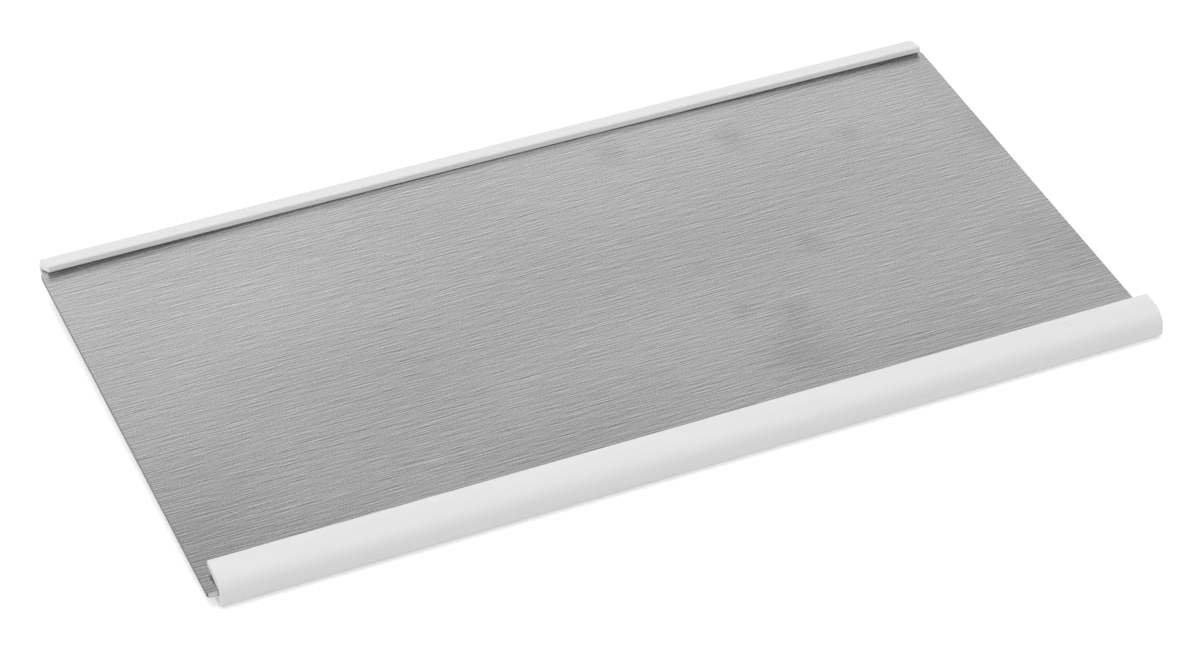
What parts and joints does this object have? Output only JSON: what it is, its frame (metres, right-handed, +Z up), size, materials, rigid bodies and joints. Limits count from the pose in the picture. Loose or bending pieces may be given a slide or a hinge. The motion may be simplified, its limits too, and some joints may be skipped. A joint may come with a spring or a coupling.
{
  "type": "card scraper",
  "caption": "Flat steel card scraper with a white push-on plastic guard along each long edge; the guards slide off to free the scraping edges.",
  "frame": {"origin": "bottom centre of the bounding box of the whole part, level with the lowest point of the bowed rear guard", "axes": "+X along the blade's long edges to the right, +Y from the front edge to the rear edge, +Z up out of the blade's upper face"},
  "size_m": [0.1258, 0.067, 0.0055],
  "materials": {
    "brushed_steel": "brushed along the length, satin",
    "white_plastic": "smooth extruded, satin"
  },
  "bodies": {
    "blade": {"scraper_blade": "brushed_steel"},
    "front_guard": {"front_edge_guard": "white_plastic"},
    "rear_guard": {"rear_edge_guard": "white_plastic"}
  },
  "joints": [
    {"name": "front_guard_slide", "type": "slide", "parent": "blade", "child": "front_guard", "axis": [1, 0, 0], "range_m": [-0.127, 0.125]},
    {"name": "rear_guard_slide", "type": "slide", "parent": "blade", "child": "rear_guard", "axis": [1, 0, 0], "range_m": [-0.126, 0.126]}
  ]
}
